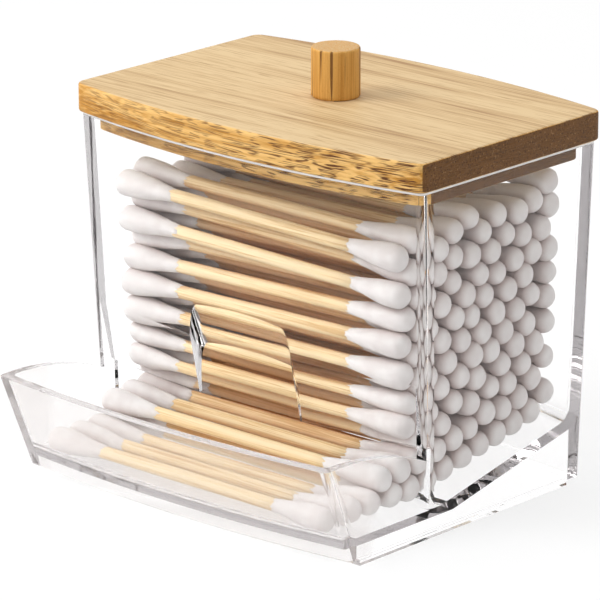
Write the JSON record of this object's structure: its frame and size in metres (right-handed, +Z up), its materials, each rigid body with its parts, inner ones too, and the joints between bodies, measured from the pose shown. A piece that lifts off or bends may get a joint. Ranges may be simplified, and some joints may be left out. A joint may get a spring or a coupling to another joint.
{
  "type": "table-top cotton swab dispenser",
  "caption": "Clear hopper box with a sloping floor, finger notch and front tray, a flat lift-off bamboo lid with a round knob, filled with double-ended bamboo swabs.",
  "frame": {"origin": "bottom of the feet, midway between the sides and between the tray's lip and the lid's rear edge", "axes": "+X across, along the swabs; -Y is the front, where the tray is; +Z up"},
  "size_m": [0.088, 0.0824, 0.0834],
  "materials": {
    "clear_plastic": "clear polished polystyrene, water-clear, glossy",
    "lid_bamboo": "pressed bamboo board, fine straight grain across, satin lacquer",
    "knob_bamboo": "turned bamboo, upright fibres, satin lacquer",
    "stick_bamboo": "thin raw bamboo stick, matt, lengthwise fibres",
    "cotton": "wound white cotton, soft and matt"
  },
  "bodies": {
    "container": {"body": "clear_plastic", "swab_sticks_layer_01": "stick_bamboo", "swab_sticks_layer_02": "stick_bamboo", "swab_sticks_layer_03": "stick_bamboo", "swab_sticks_layer_04": "stick_bamboo", "swab_sticks_layer_05": "stick_bamboo", "swab_sticks_layer_06": "stick_bamboo", "swab_sticks_layer_07": "stick_bamboo", "swab_sticks_layer_08": "stick_bamboo", "swab_sticks_layer_09": "stick_bamboo", "swab_sticks_layer_10": "stick_bamboo", "swab_sticks_layer_11": "stick_bamboo", "swab_sticks_layer_12": "stick_bamboo", "swab_sticks_tray": "stick_bamboo", "swab_tips_layer_01": "cotton", "swab_tips_layer_02": "cotton", "swab_tips_layer_03": "cotton", "swab_tips_layer_04": "cotton", "swab_tips_layer_05": "cotton", "swab_tips_layer_06": "cotton", "swab_tips_layer_07": "cotton", "swab_tips_layer_08": "cotton", "swab_tips_layer_09": "cotton", "swab_tips_layer_10": "cotton", "swab_tips_layer_11": "cotton", "swab_tips_layer_12": "cotton", "swab_tips_tray": "cotton"},
    "lid": {"lid": "lid_bamboo", "knob": "knob_bamboo"}
  },
  "joints": [
    {"name": "lid_lift", "type": "slide", "parent": "container", "child": "lid", "axis": [0, 0, 1], "range_m": [0, 0.03]}
  ]
}
